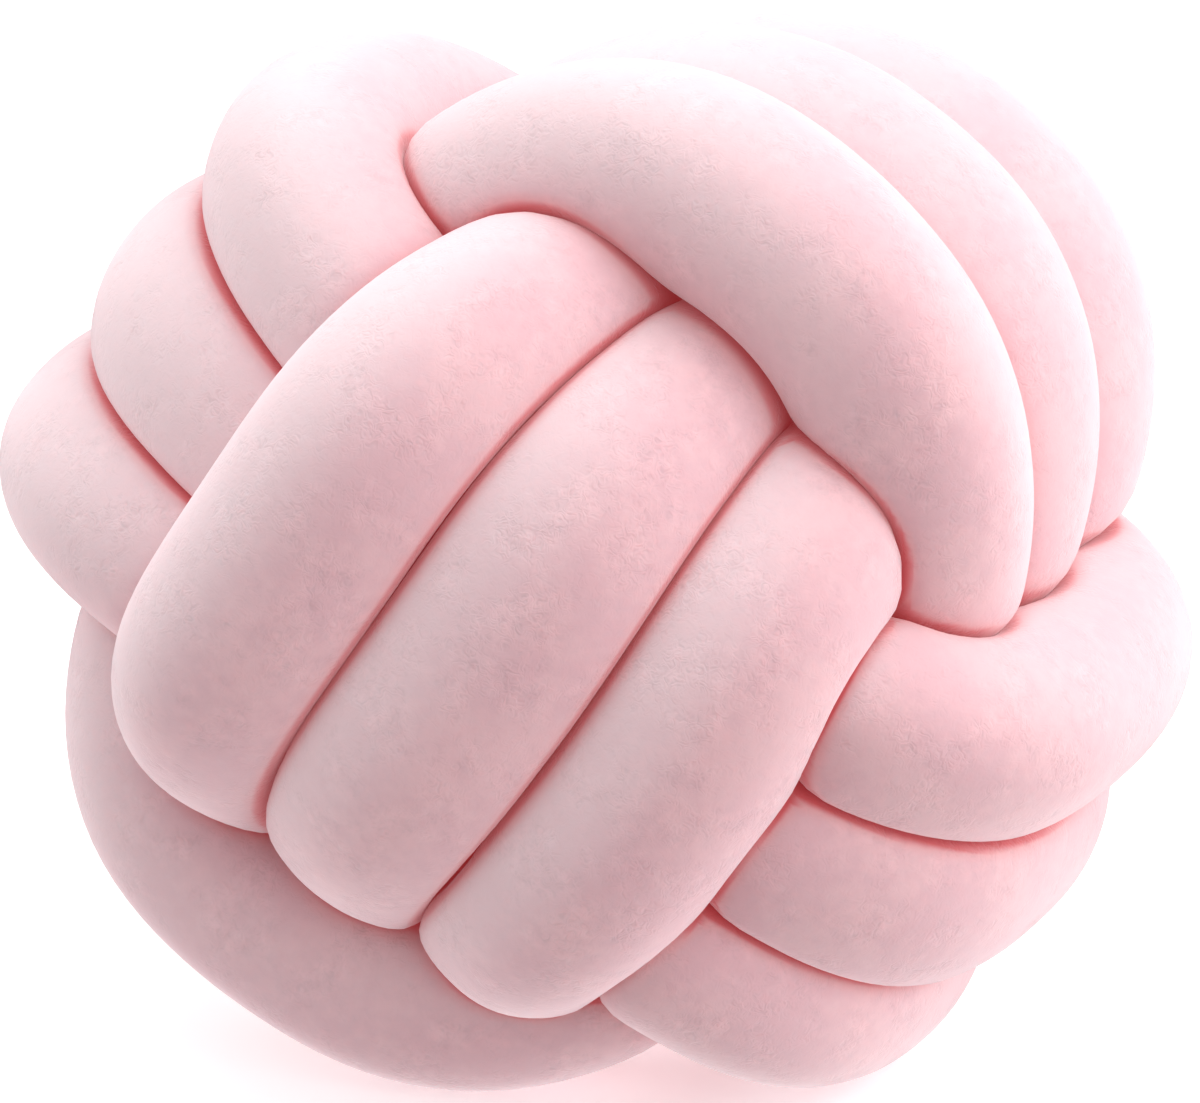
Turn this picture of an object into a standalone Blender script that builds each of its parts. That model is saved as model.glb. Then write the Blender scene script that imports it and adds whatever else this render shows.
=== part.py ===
"""Knot cushion: one long stuffed velour tube, wound as a ball knot of three crossed bands."""

import math

import bmesh
import bpy
import numpy as np
from mathutils import Euler

# Driving dimensions, in metres. The finished ball is 0.30 m wide.
TUBE_RADIUS = 0.0266  # the filled tube, measured outwards from the ball
TUBE_SPREAD = 0.0335  # the same towards a neighbouring turn, where the fill spreads sideways
HIDDEN_RADIUS = 0.0260  # the tube inside the ball, where it fills the middle
TURN_GAP = 0.0012  # left between neighbouring turns of one band
BAND_GAP = 0.0052  # left between passes of different bands, so that their facets stay clear
HIDDEN_GAP = 0.011  # left around the tube's stretches in the hollow middle
FLAT_SPOT_DEPTH = 0.0035  # how far the ball's underside is pressed flat by its weight
SAG = 0.9585  # height kept by the ball after it settles

# Each band is a flat coil of three turns. Its two ends are the rounded outer faces of the ball.
# reach: from the ball's centre to the tube's axis. shift: the band's own offset sideways.
# pitch: between neighbouring turns. drop: how much lower both outer turns lie.
# squareness: the exponent of the turn's rounded outline. tilt: how much lower the last turn
# lies than the middle one, and the first turn higher. lean: how far the turns drift sideways
# along the face. fan: how far they spread towards one end. bow: how far both ends bend
# sideways. slide: how far each turn is pushed along the next one.
FACE_COLUMNS = (
    "reach", "shift", "pitch", "drop", "squareness", "tilt", "lean", "fan", "bow", "slide",
)
FACES = {
    "front": (0.1077, -0.0091, 0.0521, 0.0012, 3.01, -0.0101, 0.0012, 0.0002, 0.0068, 0.0006),
    "back": (0.1124, -0.0040, 0.0530, 0.0025, 2.70, 0.0, 0.0, 0.0, 0.0, 0.0),
    "upper_right": (0.1180, -0.0005, 0.0604, 0.0029, 2.46, -0.0006, -0.0053, -0.0032, 0.0013, 0.0026),
    "lower_left": (0.1175, 0.0020, 0.0510, 0.0032, 2.71, -0.0005, 0.0022, -0.0012, -0.0001, 0.0024),
    "upper_left": (0.1168, -0.0030, 0.0492, 0.0020, 3.12, 0.0009, 0.0028, 0.0037, -0.0010, -0.0006),
    "lower_right": (0.1202, -0.0058, 0.0489, 0.0054, 3.23, 0.0006, -0.0007, -0.0059, 0.0010, 0.0043),
}

# The bands in winding order: outer face on each end, and the half-width of each side,
# where the turns dive under the next band.
BAND_COLUMNS = ("near_face", "far_face", "open_side", "shift_side")
BANDS = (
    ("front", "back", 0.0727, 0.0755),
    ("upper_right", "lower_left", 0.0752, 0.0798),
    ("upper_left", "lower_right", 0.0764, 0.0724),
)
SIDE_PITCH = 0.0363  # between turns where they are squeezed under the next band
SIDE_RISE = 0.0004  # how much farther out the outer turns lie there
TURNS = 3

# The tube steps over by one turn on each band's shift side, out of sight.
STEP_HALF_ANGLE = math.radians(32)
# Where a band's coil leaves that side, and the two points that it passes in the hollow middle
# on its way to the next band, in the first band's axes.
LEAVE_HALF_ANGLE = math.radians(24)
CROSSING_POINTS = ((-0.020, -0.042, 0.036), (-0.036, 0.015, -0.042))
START_TUCK = 0.33  # share of the last crossing that the tube's first end follows, out to the first band
LAST_END = (0.014, 0.014, 0.014)  # where its last end fills the very middle of the ball

# The ball lies turned like this on the floor, in degrees about X, Y and Z.
BALL_TURN = (55.22, -0.08, -109.92)

COIL_POINTS = 600  # points worked out along each band's coil
ROUTE_STEP = 0.0041  # spacing of the route's points, once they are spread evenly
EASING_PASSES = 12  # how often each point of the route is drawn to its neighbours
RING_STEP = 0.0164  # spacing of the cross-sections that are skinned
RING_SIDES = 16
NEIGHBOUR_RUN = 0.100  # stretch of tube on either side that counts as the same pass
SIDE_HINT = (0.3, 0.5, 0.8)  # any direction that isn't along the tube's first end
END_STEPS = 2  # route points left between a closed end's tip and its first cross-section
HALF_BLEND = 0.40  # share of a turn's half-length over which one face's values pass to the other's

VELOUR_PINK = (0.80, 0.55, 0.58, 1.0)
VELOUR_ROUGHNESS = 0.90


def smoothstep(value):
    """0 below 0, 1 above 1, and an even curve between."""
    value = np.clip(value, 0.0, 1.0)
    return value * value * (3.0 - 2.0 * value)


def face_values(name):
    return dict(zip(FACE_COLUMNS, FACES[name]))


def coil_point(band, angle):
    """A point of one band's coil and its turn, which is -1, 0 or 1, or between while it steps over.

    x goes out through the faces, y across to the sides, and z along the stack of turns.
    """
    near, far = face_values(band["near_face"]), face_values(band["far_face"])
    outward, across = math.cos(angle), math.sin(angle)
    nearness = smoothstep(0.5 + 0.5 * outward / HALF_BLEND)
    openness = smoothstep(0.5 + 0.5 * across / HALF_BLEND)
    face = {key: nearness * near[key] + (1 - nearness) * far[key] for key in FACE_COLUMNS}

    turn = -1.0
    for step in range(1, TURNS):
        step_angle = 1.5 * math.pi + step * 2.0 * math.pi
        turn += smoothstep(0.5 + (angle - step_angle) / (2.0 * STEP_HALF_ANGLE))

    reach = face["reach"] - abs(turn) * face["drop"] - turn * face["tilt"]
    side = openness * band["open_side"] + (1 - openness) * band["shift_side"]
    side += abs(turn) * SIDE_RISE
    bend = 2.0 / face["squareness"]
    x = reach * math.copysign(abs(outward) ** bend, outward)
    y = side * math.copysign(abs(across) ** bend, across)
    on_face = (x / reach) ** 2
    along = y / side
    pitch = SIDE_PITCH + (face["pitch"] - SIDE_PITCH) * on_face
    drift = (face["lean"] + turn * face["fan"]) * along + face["bow"] * along**2
    y += on_face * turn * face["slide"]
    return (x, y, face["shift"] + turn * pitch + on_face * drift, turn)


def coil(number):
    """All the turns of one band, and the turn at each point.

    Each band is the last one with the ball's axes moved on by one.
    """
    band = dict(zip(BAND_COLUMNS, BANDS[number]))
    first = 1.5 * math.pi + LEAVE_HALF_ANGLE
    last = 1.5 * math.pi + TURNS * 2.0 * math.pi - LEAVE_HALF_ANGLE
    angles = np.linspace(first, last, COIL_POINTS)
    table = np.array([coil_point(band, angle) for angle in angles])
    return np.roll(table[:, :3], number, axis=1), table[:, 3]


def crossing(number, start, end):
    """The stretch through the middle, from one band to the next."""
    middle = [np.roll(point, number) for point in CROSSING_POINTS]
    return evenly_spaced(np.array([start] + middle + [end]), ROUTE_STEP)[1:-1]


def last_end(number, start):
    """The stretch from the last band's coil to the closed end in the very middle."""
    turning = np.roll(CROSSING_POINTS[0], number)
    return evenly_spaced(np.array([start, turning, LAST_END]), ROUTE_STEP)[1:]


def evenly_spaced(points, step):
    """The same path with its points at even distances."""
    lengths = np.linalg.norm(np.diff(points, axis=0), axis=1)
    run = np.concatenate([[0.0], np.cumsum(lengths)])
    count = int(round(run[-1] / step)) + 1
    stations = np.linspace(0.0, run[-1], count)
    return np.stack([np.interp(stations, run, points[:, axis]) for axis in range(3)], axis=1)


def softened(points, passes):
    """The path with its small corners eased, its ends kept."""
    points = points.copy()
    for _ in range(passes):
        points[1:-1] = 0.25 * points[:-2] + 0.5 * points[1:-1] + 0.25 * points[2:]
    return points


def tube_route():
    """The tube's axis from one closed end to the other, with each point's band and turn.

    It starts part way along the stretch that would lead back from the last band to the first,
    and ends in the very middle. Stretches inside the ball count as band -1 and turn 0.
    """
    coils, turns = zip(*[coil(number) for number in range(len(BANDS))])
    last = len(BANDS) - 1
    way_out = crossing(last, coils[last][-1], coils[0][0])
    pieces = [way_out[-int(START_TUCK * len(way_out)) :]]
    for number, points in enumerate(coils):
        pieces.append(points)
        if number < last:
            pieces.append(crossing(number, points[-1], coils[number + 1][0]))
    pieces.append(last_end(last, coils[last][-1]))

    names = [piece // 2 if piece % 2 else -1 for piece in range(len(pieces))]
    sizes = [len(piece) for piece in pieces]
    points = np.concatenate(pieces)
    bands = np.repeat(names, sizes)
    turn_of = np.zeros(len(points))
    turn_of[bands >= 0] = np.concatenate(turns)
    route = softened(evenly_spaced(points, ROUTE_STEP), EASING_PASSES)
    nearest = [int(np.argmin(np.sum((points - point) ** 2, axis=1))) for point in route]
    return route, bands[nearest], turn_of[nearest]


def section_radius(direction, band, turn, end_distance):
    """The free tube's half-thickness in one direction of its cross-section.

    A turn spreads only towards a neighbouring turn, so the outer turns keep a round outer side.
    """
    if band < 0:
        radius = HIDDEN_RADIUS
    else:
        sideways = float(np.dot(direction, np.roll((0.0, 0.0, 1.0), band)))
        neighboured = min(1.0 - math.copysign(1.0, sideways) * turn, 1.0)
        half_width = TUBE_RADIUS + (TUBE_SPREAD - TUBE_RADIUS) * neighboured
        radius = 1.0 / math.sqrt(
            sideways**2 / half_width**2 + (1.0 - sideways**2) / TUBE_RADIUS**2
        )
    rounding = 1.0 - np.clip(end_distance / HIDDEN_RADIUS, 0.0, 1.0)
    return radius * math.sqrt(max(1.0 - rounding**2, 0.0))


def pressed_radius(centre, direction, others, gaps):
    """How far the tube reaches before it meets the skin of another pass."""
    away = others - centre
    facing = away @ direction
    ahead = facing > 1e-6
    reach = (np.sum(away[ahead] ** 2, axis=1) / 2.0) / facing[ahead]
    return float(np.min(reach - gaps[ahead] / 2.0, initial=math.inf))


def tube_rings():
    """The cross-sections of the tube in the ball's axes, each a ring of points, and the two tips."""
    route, bands, turns = tube_route()
    skip = int(round(RING_STEP / ROUTE_STEP))
    last = len(route) - 1
    stations = range(END_STEPS, last - END_STEPS + 1, skip)
    side = np.cross(route[1] - route[0], SIDE_HINT)
    rings = []
    for index in stations:
        forward = route[index + 1] - route[index - 1]
        forward /= np.linalg.norm(forward)
        side = side - forward * np.dot(side, forward)
        side /= np.linalg.norm(side)
        up = np.cross(forward, side)
        steps_away = np.abs(np.arange(len(route)) - index)
        elsewhere = steps_away * ROUTE_STEP > NEIGHBOUR_RUN
        others = route[elsewhere]
        same_band = (bands[elsewhere] == bands[index]) & (bands[index] >= 0)
        hidden = (bands[elsewhere] < 0) | (bands[index] < 0)
        gaps = np.where(same_band, TURN_GAP, np.where(hidden, HIDDEN_GAP, BAND_GAP))
        end_distance = min(index, last - index) * ROUTE_STEP
        ring = []
        for corner in range(RING_SIDES):
            angle = 2.0 * math.pi * corner / RING_SIDES
            direction = math.cos(angle) * side + math.sin(angle) * up
            free = section_radius(direction, int(bands[index]), turns[index], end_distance)
            pressed = pressed_radius(route[index], direction, others, gaps)
            ring.append(route[index] + min(free, pressed) * direction)
        rings.append(np.array(ring))
    return rings, route[0], route[-1]


def settle(points):
    """Turns the ball as it lies, lets it sag, and presses its underside flat on the floor."""
    turn = np.array(Euler([math.radians(angle) for angle in BALL_TURN], "XYZ").to_matrix())
    points = points @ turn.T
    points[:, 2] *= SAG
    floor = points[:, 2].min() + FLAT_SPOT_DEPTH
    points[:, 2] = np.maximum(points[:, 2], floor) - floor
    middle = 0.5 * (points[:, :2].min(axis=0) + points[:, :2].max(axis=0))
    points[:, :2] -= middle
    return points


def velour(name, colour, roughness):
    material = bpy.data.materials.new(name)
    material.use_nodes = True
    surface = material.node_tree.nodes["Principled BSDF"]
    surface.inputs["Base Color"].default_value = colour
    surface.inputs["Roughness"].default_value = roughness
    surface.inputs["Metallic"].default_value = 0.0
    return material


def knotted_tube():
    """Skins the cross-sections into one closed body with a tip at each end."""
    rings, first_tip, last_tip = tube_rings()
    points = settle(np.concatenate([first_tip[None]] + rings + [last_tip[None]]))

    shape = bmesh.new()
    corners = [shape.verts.new(point) for point in points]
    circles = [
        corners[1 + number * RING_SIDES : 1 + (number + 1) * RING_SIDES]
        for number in range(len(rings))
    ]
    for corner in range(RING_SIDES):
        beside = (corner + 1) % RING_SIDES
        shape.faces.new((corners[0], circles[0][beside], circles[0][corner]))
        shape.faces.new((corners[-1], circles[-1][corner], circles[-1][beside]))
        for circle, following in zip(circles, circles[1:]):
            shape.faces.new(
                (circle[corner], circle[beside], following[beside], following[corner])
            )
    bmesh.ops.recalc_face_normals(shape, faces=shape.faces)
    for face in shape.faces:
        face.smooth = True
    bmesh.ops.triangulate(shape, faces=shape.faces)

    mesh = bpy.data.meshes.new("knotted_tube")
    shape.to_mesh(mesh)
    shape.free()
    tube = bpy.data.objects.new("knotted_tube", mesh)
    mesh.materials.append(velour("pink_velour", VELOUR_PINK, VELOUR_ROUGHNESS))
    bpy.context.scene.collection.objects.link(tube)
    return tube


for old in list(bpy.data.objects):
    bpy.data.objects.remove(old, do_unlink=True)

knotted_tube()
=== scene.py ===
"""Knot cushion: a ball knot tied from one long tube of stuffed pink velour."""

import math

import bpy
import numpy as np
from mathutils import Euler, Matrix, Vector


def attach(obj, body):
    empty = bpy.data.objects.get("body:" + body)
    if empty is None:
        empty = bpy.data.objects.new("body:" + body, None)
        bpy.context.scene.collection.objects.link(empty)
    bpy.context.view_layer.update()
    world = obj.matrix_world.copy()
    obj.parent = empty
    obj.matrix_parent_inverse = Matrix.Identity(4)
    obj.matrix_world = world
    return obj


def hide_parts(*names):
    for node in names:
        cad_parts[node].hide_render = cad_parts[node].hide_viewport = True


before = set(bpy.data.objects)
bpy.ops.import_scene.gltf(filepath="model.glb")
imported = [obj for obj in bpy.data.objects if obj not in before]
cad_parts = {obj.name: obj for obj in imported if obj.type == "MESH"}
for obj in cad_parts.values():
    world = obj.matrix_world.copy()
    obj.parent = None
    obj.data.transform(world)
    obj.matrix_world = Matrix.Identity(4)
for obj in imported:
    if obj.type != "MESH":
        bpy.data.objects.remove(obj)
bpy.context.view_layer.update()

# ---------------------------------------------------------------------------------------------
# Camera. It looks at the middle of the knot from a little above, from a distance of 1.8 m,
# so that the ball nearly fills the picture from edge to edge.
# ---------------------------------------------------------------------------------------------
KNOT_CENTRE = Vector((0.0032, -0.0045, 0.1304))
CAMERA_ELEVATION = math.radians(13)
CAMERA_DISTANCE = 1.788
LENS_MM = 213.6
SENSOR_MM = 36.0
# In pixels: the picture, and where the middle of the knot lies in it.
PICTURE_WIDTH, PICTURE_HEIGHT = 1200, 1103
KNOT_CENTRE_X, KNOT_CENTRE_Y = 608.9, 538.4

camera = bpy.data.objects.new("camera", bpy.data.cameras.new("camera"))
camera.data.lens = LENS_MM
camera.data.sensor_width = SENSOR_MM
camera.data.shift_x = (PICTURE_WIDTH / 2 - KNOT_CENTRE_X) / PICTURE_WIDTH
camera.data.shift_y = (KNOT_CENTRE_Y - PICTURE_HEIGHT / 2) / PICTURE_WIDTH
backwards = Vector((0.0, -math.cos(CAMERA_ELEVATION), math.sin(CAMERA_ELEVATION)))
camera.location = KNOT_CENTRE + backwards * CAMERA_DISTANCE
camera.rotation_euler = (math.pi / 2 - CAMERA_ELEVATION, 0.0, 0.0)
bpy.context.scene.collection.objects.link(camera)
bpy.context.scene.camera = camera

# ---------------------------------------------------------------------------------------------
# The knotted tube. One strip of velour is sewn into a tube 6 m long, turned, filled with fibre
# and wound as three crossed bands of three turns. Its two closed ends are tucked into the
# middle of the ball. First comes the path that the tube's axis takes.
# ---------------------------------------------------------------------------------------------
# Each band is a flat coil of three turns. Its two ends are the rounded outer faces of the ball.
# reach: from the ball's centre to the tube's axis. shift: the band's own offset sideways.
# pitch: between neighbouring turns. drop: how much lower both outer turns lie.
# squareness: the exponent of the turn's rounded outline. tilt: how much lower the last turn
# lies than the middle one, and the first turn higher. lean: how far the turns drift sideways
# along the face. fan: how far they spread towards one end. bow: how far both ends bend
# sideways. slide: how far each turn is pushed along the next one.
# The columns: reach, shift, pitch, drop, squareness, tilt, lean, fan, bow, slide.
FACES = {
    "front": (0.1077, -0.0091, 0.0521, 0.0012, 3.01, -0.0101, 0.0012, 0.0002, 0.0068, 0.0006),
    "back": (0.1124, -0.0040, 0.0530, 0.0025, 2.70, 0.0, 0.0, 0.0, 0.0, 0.0),
    "upper_right": (0.1180, -0.0005, 0.0604, 0.0029, 2.46, -0.0006, -0.0053, -0.0032, 0.0013, 0.0026),
    "lower_left": (0.1175, 0.0020, 0.0510, 0.0032, 2.71, -0.0005, 0.0022, -0.0012, -0.0001, 0.0024),
    "upper_left": (0.1168, -0.0030, 0.0492, 0.0020, 3.12, 0.0009, 0.0028, 0.0037, -0.0010, -0.0006),
    "lower_right": (0.1202, -0.0058, 0.0489, 0.0054, 3.23, 0.0006, -0.0007, -0.0059, 0.0010, 0.0043),
}

# The bands in winding order: the outer face on each end, and the half-width of each side,
# where the turns dive under the next band.
BAND_COLUMNS = ("near_face", "far_face", "open_side", "shift_side")
BANDS = (
    ("front", "back", 0.0727, 0.0755),
    ("upper_right", "lower_left", 0.0752, 0.0798),
    ("upper_left", "lower_right", 0.0764, 0.0724),
)
SIDE_PITCH = 0.0363  # between turns where they are squeezed under the next band
SIDE_RISE = 0.0004  # how much farther out the outer turns lie there
TURNS = 3
COIL_SAMPLES = 600
SHIFT_SIDE_ANGLE = 1.5 * math.pi
FULL_TURN = 2.0 * math.pi
HALF_BLEND = 0.40  # how gradually one face or side of a band passes into the other

# The tube steps over by one turn on each band's shift side, out of sight.
STEP_HALF_ANGLE = math.radians(32)
# Where a band's coil leaves that side, and the two points that it passes in the hollow middle
# on its way to the next band, in the first band's axes.
LEAVE_HALF_ANGLE = math.radians(24)
CROSSING_POINTS = ((-0.020, -0.042, 0.036), (-0.036, 0.015, -0.042))
START_TUCK = 0.33  # the share of such a way that the tube's first end takes
LAST_END = (0.014, 0.014, 0.014)  # where its last end stops
BALL_TURN = (55.22, -0.08, -109.92)  # how the ball lies, in degrees about X, Y and Z
POINT_SPACING = 0.0040
EASING_PASSES = 12  # how often the path's corners are eased


def smoothstep(value):
    value = np.clip(value, 0.0, 1.0)
    return value * value * (3.0 - 2.0 * value)


def coil(number):
    """One band: its points, the half turn that each belongs to, and its turn, from -1 to 1."""
    band = dict(zip(BAND_COLUMNS, BANDS[number]))
    near = np.array(FACES[band["near_face"]])
    far = np.array(FACES[band["far_face"]])
    first = SHIFT_SIDE_ANGLE + LEAVE_HALF_ANGLE
    last = SHIFT_SIDE_ANGLE + TURNS * FULL_TURN - LEAVE_HALF_ANGLE
    angle = np.linspace(first, last, COIL_SAMPLES)
    outward, across = np.cos(angle), np.sin(angle)

    nearness = smoothstep(0.5 + 0.5 * outward / HALF_BLEND)[:, None]
    reach, shift, pitch, drop, squareness, tilt, lean, fan, bow, slide = (
        nearness * near + (1 - nearness) * far
    ).T
    openness = smoothstep(0.5 + 0.5 * across / HALF_BLEND)
    side = openness * band["open_side"] + (1 - openness) * band["shift_side"]

    turn = -1.0
    for step in range(1, TURNS):
        step_angle = SHIFT_SIDE_ANGLE + step * FULL_TURN
        turn = turn + smoothstep(0.5 + (angle - step_angle) / (2.0 * STEP_HALF_ANGLE))

    reach = reach - abs(turn) * drop - turn * tilt
    side = side + abs(turn) * SIDE_RISE
    x = reach * np.sign(outward) * abs(outward) ** (2.0 / squareness)
    y = side * np.sign(across) * abs(across) ** (2.0 / squareness)
    on_face = (x / reach) ** 2
    along = y / side
    drift = (lean + turn * fan) * along + bow * along**2
    z = shift + turn * (SIDE_PITCH + (pitch - SIDE_PITCH) * on_face) + on_face * drift
    y = y + on_face * turn * slide
    half_turn = np.floor((angle - SHIFT_SIDE_ANGLE) / math.pi).astype(int)
    return np.roll(np.stack([x, y, z], axis=1), number, axis=1), half_turn, turn


def evenly_spaced(points, spacing):
    """Points along the same line, at even distances."""
    run = np.concatenate([[0.0], np.cumsum(np.linalg.norm(np.diff(points, axis=0), axis=1))])
    stations = np.linspace(0.0, run[-1], int(round(run[-1] / spacing)) + 1)
    return np.stack([np.interp(stations, run, column) for column in points.T], axis=1)


def through_middle(number, start, end):
    """The stretch through the middle of the ball, from one band to the next."""
    middle = [np.roll(point, number) for point in CROSSING_POINTS]
    return evenly_spaced(np.array([start] + middle + [end]), POINT_SPACING)[1:-1]


# Each stretch of the tube: its points, its pass, its band, or -1, and its turn. Only stretches
# whose passes differ by more than one press against each other.
coils = [coil(number) for number in range(len(BANDS))]
last_band = len(BANDS) - 1
first_end = through_middle(last_band, coils[last_band][0][-1], coils[0][0][0])
stretches = [(first_end[-int(START_TUCK * len(first_end)) :], 0, -1, 0.0)]
passes = 1
for number, (points, half_turns, turns) in enumerate(coils):
    stretches.append((points, passes + half_turns, number, turns))
    passes += 2 * TURNS
    if number < last_band:
        way = through_middle(number, points[-1], coils[number + 1][0][0])
        stretches.append((way, passes, -1, 0.0))
        passes += 1
turning = np.roll(CROSSING_POINTS[0], last_band)
last_line = np.array([coils[last_band][0][-1], turning, LAST_END])
stretches.append((evenly_spaced(last_line, POINT_SPACING)[1:], passes, -1, 0.0))
passes += 1

rough_path = np.concatenate([stretch[0] for stretch in stretches])
rough_pass, rough_band, rough_turn = (
    np.concatenate([np.broadcast_to(stretch[column], len(stretch[0])) for stretch in stretches])
    for column in (1, 2, 3)
)
path = evenly_spaced(rough_path, POINT_SPACING)
for _ in range(EASING_PASSES):
    path[1:-1] = 0.25 * path[:-2] + 0.5 * path[1:-1] + 0.25 * path[2:]
nearest = [int(np.argmin(np.sum((rough_path - point) ** 2, axis=1))) for point in path]

# The direction from each turn to the next one in its band, or nothing outside the bands.
no_axis = np.zeros(3)
stack_axis = np.array(
    [np.roll((0.0, 0.0, 1.0), band) if band >= 0 else no_axis for band in rough_band[nearest]]
)
END_ROUNDING = 0.026
END_START = 0.02  # how far into the rounding the closed ends begin
run = np.arange(len(path)) * POINT_SPACING
from_end = np.clip(np.minimum(run, run[-1] - run) / END_ROUNDING, END_START, 1.0)
fullness = np.sqrt(1.0 - (1.0 - from_end) ** 2)
turn_matrix = np.array(Euler([math.radians(angle) for angle in BALL_TURN], "XYZ").to_matrix())
path = path @ turn_matrix.T
stack_axis = stack_axis @ turn_matrix.T

# The path as a line of points that carry what the sweep needs to know about each place.
line_mesh = bpy.data.meshes.new("tube_path")
line_mesh.from_pydata(path, [(i, i + 1) for i in range(len(path) - 1)], [])
for name, kind, field, values in (
    ("pass_number", "INT", "value", rough_pass[nearest]),
    ("stack_axis", "FLOAT_VECTOR", "vector", stack_axis.ravel()),
    ("fullness", "FLOAT", "value", fullness),
    ("turn", "FLOAT", "value", rough_turn[nearest]),
):
    line_mesh.attributes.new(name, kind, "POINT").data.foreach_set(field, values)
tube = bpy.data.objects.new("velour_tube", line_mesh)
bpy.context.scene.collection.objects.link(tube)


class Wire:
    """A node's output that takes part in sums, so that node maths reads as arithmetic."""

    def __init__(self, socket):
        self.socket = socket
        self.tree = socket.id_data

    def output(self, name):
        """Another output of the same node."""
        return Wire(self.socket.node.outputs[name])

    def sum_with(self, operation, first, second):
        vectors = any(isinstance(v, Wire) and v.socket.type == "VECTOR" for v in (first, second))
        kind = "ShaderNodeVectorMath" if vectors else "ShaderNodeMath"
        return new_node(self.tree, kind, {"operation": operation}, {0: first, 1: second})

    def __add__(self, other):
        return self.sum_with("ADD", self, other)

    def __radd__(self, other):
        return self.sum_with("ADD", other, self)

    def __sub__(self, other):
        return self.sum_with("SUBTRACT", self, other)

    def __rsub__(self, other):
        return self.sum_with("SUBTRACT", other, self)

    def __mul__(self, other):
        return self.sum_with("MULTIPLY", self, other)

    def __rmul__(self, other):
        return self.sum_with("MULTIPLY", other, self)

    def __truediv__(self, other):
        return self.sum_with("DIVIDE", self, other)

    def __rtruediv__(self, other):
        return self.sum_with("DIVIDE", other, self)

    def __pow__(self, other):
        return self.sum_with("POWER", self, other)

    def maths(self, operation, *others):
        inputs = dict(enumerate((self,) + others))
        return new_node(self.tree, "ShaderNodeMath", {"operation": operation}, inputs)

    def dot(self, other):
        kind, settings = "ShaderNodeVectorMath", {"operation": "DOT_PRODUCT"}
        return new_node(self.tree, kind, settings, {0: self, 1: other}, "Value")

    def normalised(self):
        kind, settings = "ShaderNodeVectorMath", {"operation": "NORMALIZE"}
        return new_node(self.tree, kind, settings, {0: self})

    def scaled(self, factor):
        """A vector or a colour times a number."""
        kind, settings = "ShaderNodeVectorMath", {"operation": "SCALE"}
        return new_node(self.tree, kind, settings, {0: self, "Scale": factor})


def fill_inputs(node, inputs):
    """Links or sets inputs of a node, each by its name or its place."""
    for name, value in inputs.items():
        if isinstance(value, Wire):
            node.id_data.links.new(value.socket, node.inputs[name])
        else:
            node.inputs[name].default_value = value


def new_node(tree, kind, settings=None, inputs=None, output=0):
    """Adds a node of any kind: its settings, then its inputs. Gives one of its outputs."""
    node = tree.nodes.new(kind)
    for name, value in (settings or {}).items():
        setattr(node, name, value)
    fill_inputs(node, inputs or {})
    return Wire(node.outputs[output])


# Sizes of the filled tube, in metres. Each becomes a named input of the sweep.
TUBE_SIZES = {
    "Outward Radius": 0.0266,
    "Sideways Radius": 0.0335,
    "Gap": 0.0002,
    "Softness": 0.004,
    "Lump Height": 0.0011,
    "Lump Size": 0.055,
    "Sag": 0.9585,
    "Floor": -0.1304,
}
TUBE_SIDES = 64
LUMP_DETAIL = 2.0
BLUR_PASSES = 2
NEIGHBOURING_PASSES = 1.5  # passes nearer in number than this run into each other
FAR_AWAY = 1.0
NEARLY_ZERO = 1e-4


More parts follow.
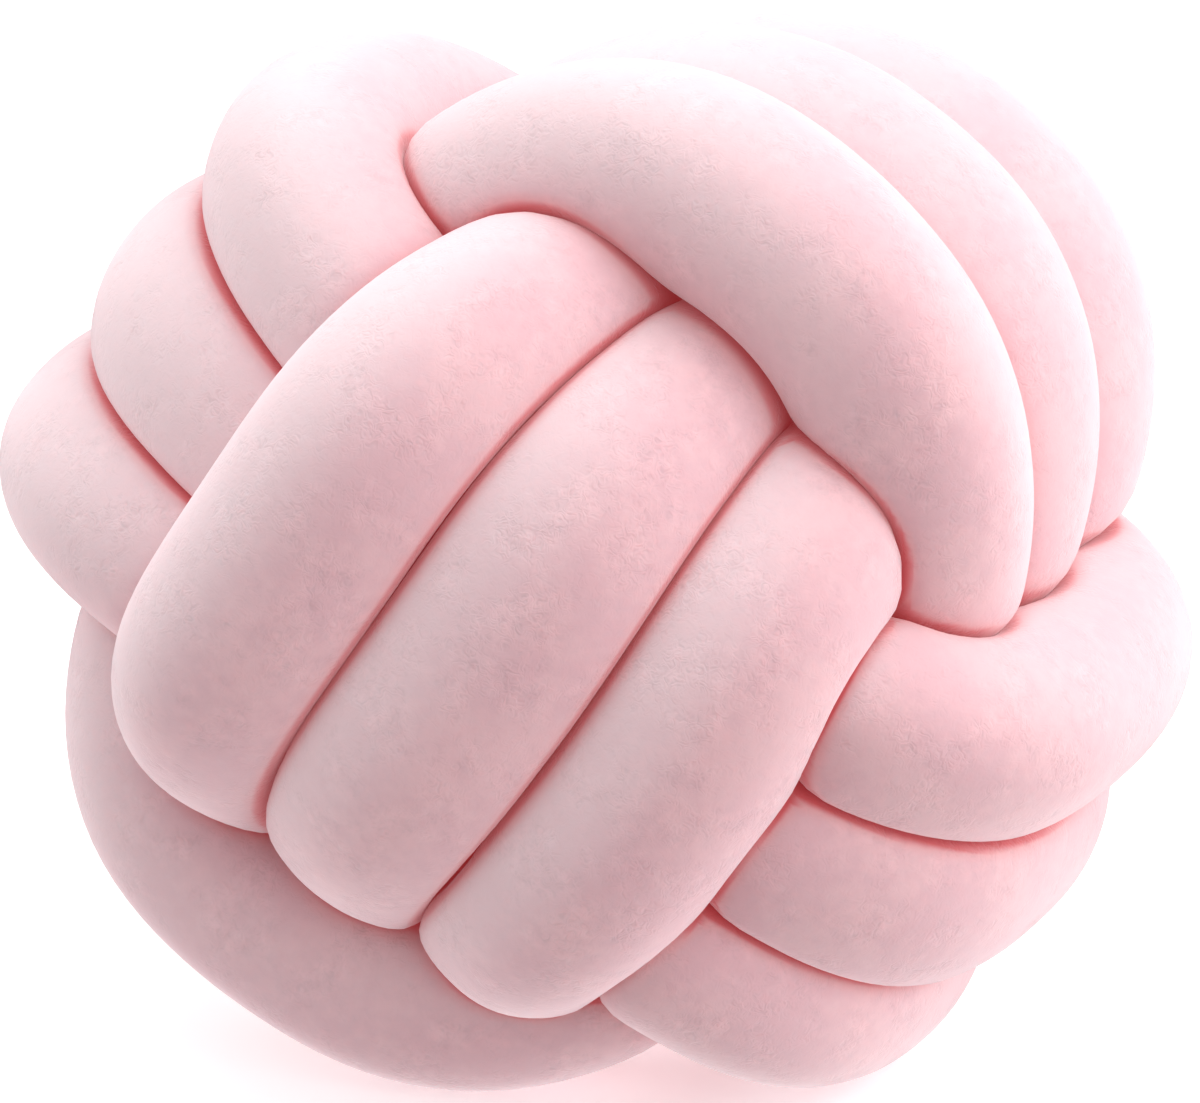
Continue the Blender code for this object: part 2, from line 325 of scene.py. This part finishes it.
def sweep_tree():
    """Sweeps the tube along its path and presses each pass against the ones that it touches."""
    tree = bpy.data.node_groups.new("stuffed_tube", "GeometryNodeTree")
    sockets = tree.interface
    sockets.new_socket("Geometry", in_out="INPUT", socket_type="NodeSocketGeometry")
    sockets.new_socket("Geometry", in_out="OUTPUT", socket_type="NodeSocketGeometry")
    sides = sockets.new_socket("Sides", in_out="INPUT", socket_type="NodeSocketInt")
    sides.default_value = TUBE_SIDES
    for name, size in TUBE_SIZES.items():
        socket = sockets.new_socket(name, in_out="INPUT", socket_type="NodeSocketFloat")
        socket.default_value = size
    sockets.new_socket("Velour", in_out="INPUT", socket_type="NodeSocketMaterial")
    given = tree.nodes.new("NodeGroupInput")

    def asked(name):
        return Wire(given.outputs[name])

    def stored(name, kind):
        return new_node(
            tree, "GeometryNodeInputNamedAttribute", {"data_type": kind}, {"Name": name}
        )

    def storing(geometry, name, kind, value):
        return new_node(
            tree,
            "GeometryNodeStoreNamedAttribute",
            {"data_type": kind, "domain": "POINT"},
            {"Geometry": geometry, "Name": name, "Value": value},
        )

    path_curve = new_node(tree, "GeometryNodeMeshToCurve", None, {"Mesh": asked("Geometry")})
    place = new_node(tree, "GeometryNodeInputPosition")
    circle = new_node(
        tree,
        "GeometryNodeCurvePrimitiveCircle",
        None,
        {"Resolution": asked("Sides"), "Radius": asked("Outward Radius")},
    )
    swept = new_node(
        tree,
        "GeometryNodeCurveToMesh",
        None,
        {
            "Curve": storing(path_curve, "axis_point", "FLOAT_VECTOR", place),
            "Profile Curve": circle,
            "Fill Caps": True,
        },
    )

    axis = stored("axis_point", "FLOAT_VECTOR")
    outwards = (place - axis).normalised()
    side = outwards.dot(stored("stack_axis", "FLOAT_VECTOR"))
    # A turn spreads only towards a neighbouring turn, so the outer turns keep a round outer side.
    beside = 1.0 - side.maths("SIGN") * stored("turn", "FLOAT")
    spread = asked("Sideways Radius") - asked("Outward Radius")
    half_width = asked("Outward Radius") + spread * beside.maths("MINIMUM", 1.0)
    sideways = side**2.0
    inverse = sideways / half_width**2.0 + (1.0 - sideways) / asked("Outward Radius") ** 2.0
    free = stored("fullness", "FLOAT") / inverse.maths("SQRT")

    own_pass = stored("pass_number", "INT")

    def reach_to(number, skin):
        """How far the tube can swell before it meets another pass, which presses back as hard."""
        nearest_place = new_node(
            tree,
            "GeometryNodeProximity",
            {"target_element": "POINTS"},
            {
                "Geometry": asked("Geometry"),
                "Group ID": own_pass,
                "Sample Position": skin,
                "Sample Group ID": number,
            },
            "Position",
        )
        away = nearest_place - axis
        ahead = away.dot(outwards).maths("MAXIMUM", NEARLY_ZERO)
        apart = (own_pass - float(number)).maths("ABSOLUTE")
        same = apart.maths("LESS_THAN", NEIGHBOURING_PASSES)
        return away.dot(away) / (2.0 * ahead) + same

    hard = free
    for number in range(passes):
        hard = hard.maths("MINIMUM", reach_to(number, axis + outwards.scaled(free)))
    pressed = free
    nearest_wall = FAR_AWAY
    for number in range(passes):
        reach = reach_to(number, axis + outwards.scaled(hard)) - asked("Gap") / 2.0
        pressed = pressed.maths("SMOOTH_MIN", reach, asked("Softness"))
        nearest_wall = reach.maths("MINIMUM", nearest_wall)

    lumps = new_node(
        tree,
        "ShaderNodeTexNoise",
        {"noise_dimensions": "3D"},
        {"Vector": place.scaled(1.0 / asked("Lump Size")), "Scale": 1.0, "Detail": LUMP_DETAIL},
    )
    eased = new_node(
        tree,
        "GeometryNodeBlurAttribute",
        {"data_type": "FLOAT"},
        {"Value": pressed + (lumps - 0.5) * asked("Lump Height"), "Iterations": BLUR_PASSES},
    )
    # The ball sags under its own weight, and the floor presses it flat.
    skin = {"Vector": axis + outwards.scaled(eased)}
    across = new_node(tree, "ShaderNodeSeparateXYZ", None, skin, "X")
    height = across.output("Z") * asked("Sag") - asked("Floor")
    lying = new_node(
        tree,
        "ShaderNodeCombineXYZ",
        None,
        {"X": across, "Y": across.output("Y"), "Z": height.maths("MAXIMUM", 0.0)},
    )
    marked = storing(swept, "clearance", "FLOAT", nearest_wall - pressed)
    shape_inputs = {"Geometry": marked, "Position": lying}
    shaped = new_node(tree, "GeometryNodeSetPosition", None, shape_inputs)
    smooth = new_node(tree, "GeometryNodeSetShadeSmooth", None, {"Geometry": shaped})
    real = new_node(tree, "GeometryNodeRealizeInstances", None, {"Geometry": smooth})
    cloth_inputs = {"Geometry": real, "Material": asked("Velour")}
    clothed = new_node(tree, "GeometryNodeSetMaterial", None, cloth_inputs)
    fill_inputs(tree.nodes.new("NodeGroupOutput"), {"Geometry": clothed})
    return tree


POWDER_PINK = (0.73, 0.46, 0.487, 1.0)
WORN_PINK = (0.69, 0.427, 0.463, 1.0)
# Painted light: the paler pink laid on surfaces that face up and to the left.
PAINTED_LIGHT_PINK = (0.75, 0.58, 0.605, 1.0)
# This colour and the next are painted shade: a darker, redder pink near a crease and a dark rose
# where two passes press together.
CREASE_SHADE_PINK = (0.77, 0.41, 0.42, 1.0)
PAINTED_CREASE_SHADOW = (0.55, 0.12, 0.13, 1.0)
SHEEN_PINK = (0.98, 0.80, 0.83, 1.0)
# Painted light: the cloth glows faintly pink beside a crease and rose where two passes press
# together, in place of light bounced between the folds.
PAINTED_FLANK_GLOW = (0.030, 0.013, 0.014, 1.0)
PAINTED_CREASE_GLOW = (0.11, 0.013, 0.015, 1.0)
UNLIT = (0.0, 0.0, 0.0, 1.0)
PAINTED_LIGHT_SIDE = (-0.78, -0.25, 0.57)  # surfaces facing this way are painted paler, as painted light

# Sizes in metres. The pile's patches and wrinkles are 3D noise, each shifted to a place of
# its own.
PATCH_SIZE = 0.030
RUBBED_SIZE = 0.012
BRUSHED_SIZE = 0.0042
WRINKLE_SIZE = 0.0024
RUBBED_PLACE, BRUSHED_PLACE, WRINKLE_PLACE = 5.0, 7.0, 3.0
WRINKLE_TWIST = 1.3
WRINKLE_NARROWNESS = 6.0
WRINKLE_SHARE, BRUSHED_SHARE = 0.42, 1.5
LEAST_RUBBED = 0.2
RELIEF_DEPTH = 0.0007
RELIEF_STRENGTH = 0.27
RELIEF_TINT = 0.13  # how much paler the raised pile is
TONE = 1.005
# How far from a crease the painted shade and glow reach, as clearance in metres, and how strongly the
# painted crease shade is mixed in.
PAINTED_CREASE_WIDTH = 0.0055
PAINTED_CREASE_CORE = 0.0022
CREASE_SHADE_TINT = 0.65
LIGHT_DEPTH = 0.006  # how deep the light enters the pile


def velour_material():
    material = bpy.data.materials.new("pink_velour")
    material.use_nodes = True
    tree = material.node_tree

    def noise(size, detail, shift=0.0, distortion=0.0):
        return new_node(
            tree,
            "ShaderNodeTexNoise",
            {"noise_dimensions": "3D"},
            {
                "Vector": where.scaled(1.0 / size) + (shift, shift, shift),
                "Scale": 1.0,
                "Detail": detail,
                "Distortion": distortion,
            },
        )

    def ramp(value, low, high):
        return new_node(
            tree,
            "ShaderNodeMapRange",
            {"interpolation_type": "SMOOTHSTEP"},
            {"Value": value, "From Min": low, "From Max": high},
        )

    def mixed(factor, first, second):
        # Inputs 0, 6 and 7 and output 2 are the ones for colours.
        inputs = {0: factor, 6: first, 7: second}
        return new_node(tree, "ShaderNodeMix", {"data_type": "RGBA"}, inputs, 2)

    where = new_node(tree, "ShaderNodeTexCoord", output="Object")
    normal = new_node(tree, "ShaderNodeNewGeometry", output="Normal")
    settings = {"attribute_name": "clearance"}
    clearance = new_node(tree, "ShaderNodeAttribute", settings, output="Fac")

    # The short pile lies in fine worm-like wrinkles, stronger in some places than in others.
    brushed = noise(BRUSHED_SIZE, 2.0, BRUSHED_PLACE) - 0.5
    folds = (noise(WRINKLE_SIZE, 1.0, WRINKLE_PLACE, WRINKLE_TWIST) - 0.5).maths("ABSOLUTE")
    wrinkles = 0.5 - folds * WRINKLE_NARROWNESS
    worn_places = ramp(noise(RUBBED_SIZE, 2.0, RUBBED_PLACE), 0.40, 0.66)
    rubbed = LEAST_RUBBED + (1.0 - LEAST_RUBBED) * worn_places
    relief = (wrinkles * WRINKLE_SHARE + brushed * BRUSHED_SHARE) * rubbed

    patches = ramp(noise(PATCH_SIZE, 3.0) + brushed * 0.5, 0.35, 0.68)
    open_pile = mixed(patches, WORN_PINK, POWDER_PINK)
    # Painted light: surfaces facing up and to the left are painted a paler pink, as if more light
    # fell on them from that side.
    open_pile = mixed(ramp(normal.dot(PAINTED_LIGHT_SIDE), 0.15, 0.95), open_pile, PAINTED_LIGHT_PINK)
    # Painted shade: within a few millimetres of a crease the colour turns a darker, redder pink, and
    # dark rose in the crease's core.
    crease_shade_and_glow = 1.0 - ramp(clearance, 0.0, PAINTED_CREASE_WIDTH)
    crease_core_shade_and_glow = 1.0 - ramp(clearance, 0.0, PAINTED_CREASE_CORE)
    colour = mixed(crease_shade_and_glow * CREASE_SHADE_TINT, open_pile, CREASE_SHADE_PINK)
    colour = mixed(crease_core_shade_and_glow, colour, PAINTED_CREASE_SHADOW)
    # Painted light: the cloth glows beside a crease and more strongly in its core, though it is no
    # lamp.
    painted_glow = mixed(crease_shade_and_glow**2.0, UNLIT, PAINTED_FLANK_GLOW)
    bump_inputs = {"Height": relief, "Strength": RELIEF_STRENGTH, "Distance": RELIEF_DEPTH}

    surface_inputs = {
        "Base Color": colour.scaled(TONE + relief * RELIEF_TINT),
        "Normal": new_node(tree, "ShaderNodeBump", None, bump_inputs),
        "Emission Color": mixed(crease_core_shade_and_glow, painted_glow, PAINTED_CREASE_GLOW),
        "Emission Strength": 1.0,
        "Roughness": 0.95,
        "Specular IOR Level": 0.15,
        "Sheen Weight": 1.0,
        "Sheen Roughness": 0.45,
        "Sheen Tint": SHEEN_PINK,
        "Subsurface Weight": 0.35,
        "Subsurface Radius": (1.0, 0.30, 0.28),
        "Subsurface Scale": LIGHT_DEPTH,
    }
    fill_inputs(tree.nodes["Principled BSDF"], surface_inputs)
    return material


sweep = tube.modifiers.new("stuffed_tube", "NODES")
sweep.node_group = sweep_tree()
for item in sweep.node_group.interface.items_tree:
    if item.in_out == "INPUT" and item.name == "Velour":
        sweep[item.identifier] = velour_material()
evaluated = tube.evaluated_get(bpy.context.evaluated_depsgraph_get())
swept_mesh = bpy.data.meshes.new_from_object(evaluated)
tube.modifiers.clear()
tube.data = swept_mesh
for vertex in swept_mesh.vertices:
    vertex.co.x += KNOT_CENTRE.x
    vertex.co.y += KNOT_CENTRE.y

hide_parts("knotted_tube")
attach(tube, "root")

# ---------------------------------------------------------------------------------------------
# Studio floor and light. A white floor, shining faintly, that doesn't throw its light back on
# the ball. White walls all round, brightest on the right and dim behind the camera, and one
# large soft lamp above on the right.
# ---------------------------------------------------------------------------------------------
FLOOR_HALF_WIDTH = 6
FLOOR_WHITE = (0.95, 0.95, 0.95, 1.0)
FLOOR_SHINE = 0.25
WHITE = (1.0, 1.0, 1.0, 1.0)

corners = [(-1, -1), (1, -1), (1, 1), (-1, 1)]
corners = [(x * FLOOR_HALF_WIDTH, y * FLOOR_HALF_WIDTH, 0) for x, y in corners]
floor_mesh = bpy.data.meshes.new("studio_floor")
floor_mesh.from_pydata(corners, [], [(0, 1, 2, 3)])
floor = bpy.data.objects.new("studio_floor", floor_mesh)
bpy.context.scene.collection.objects.link(floor)
paint = bpy.data.materials.new("studio_floor")
paint.use_nodes = True
paint_inputs = {
    "Base Color": FLOOR_WHITE,
    "Emission Color": WHITE,
    "Emission Strength": FLOOR_SHINE,
}
fill_inputs(paint.node_tree.nodes["Principled BSDF"], paint_inputs)
floor_mesh.materials.append(paint)
floor.visible_diffuse = False

# The walls' brightness by direction: x to the right, y away from the camera, z upwards.
EVEN_LIGHT = 1.36
TO_RIGHT, TO_BACK, TO_TOP = 0.50, 0.13, 0.17
BOTH_SIDES, FRONT_AND_BACK = 0.66, -0.83
LEFT_BACK, LOW_BACK, LEFT_TOP = 0.50, 0.56, 0.20

world = bpy.data.worlds.new("studio")
bpy.context.scene.world = world
world.use_nodes = True
sky = world.node_tree
direction = new_node(sky, "ShaderNodeTexCoord", output="Generated")
x = new_node(sky, "ShaderNodeSeparateXYZ", None, {"Vector": direction})
y, z = x.output("Y"), x.output("Z")
brightness = EVEN_LIGHT + x * TO_RIGHT + y * TO_BACK + z * TO_TOP
brightness = brightness + x * x * BOTH_SIDES + y * y * FRONT_AND_BACK
brightness = brightness - x * y * LEFT_BACK - y * z * LOW_BACK - x * z * LEFT_TOP
fill_inputs(sky.nodes["Background"], {"Color": WHITE, "Strength": brightness})
bpy.context.scene.view_settings.view_transform = "Standard"

LAMP_PLACE = Vector((0.6, 0.0, 1.9))
LAMP_WIDTH = 1.4
LAMP_WATTS = 12

lamp = bpy.data.lights.new("upper_right_lamp", "AREA")
lamp.shape = "DISK"
lamp.size = LAMP_WIDTH
lamp.energy = LAMP_WATTS
lamp_object = bpy.data.objects.new("upper_right_lamp", lamp)
lamp_object.location = LAMP_PLACE
lamp_object.rotation_euler = (KNOT_CENTRE - LAMP_PLACE).to_track_quat("-Z", "Y").to_euler()
bpy.context.scene.collection.objects.link(lamp_object)
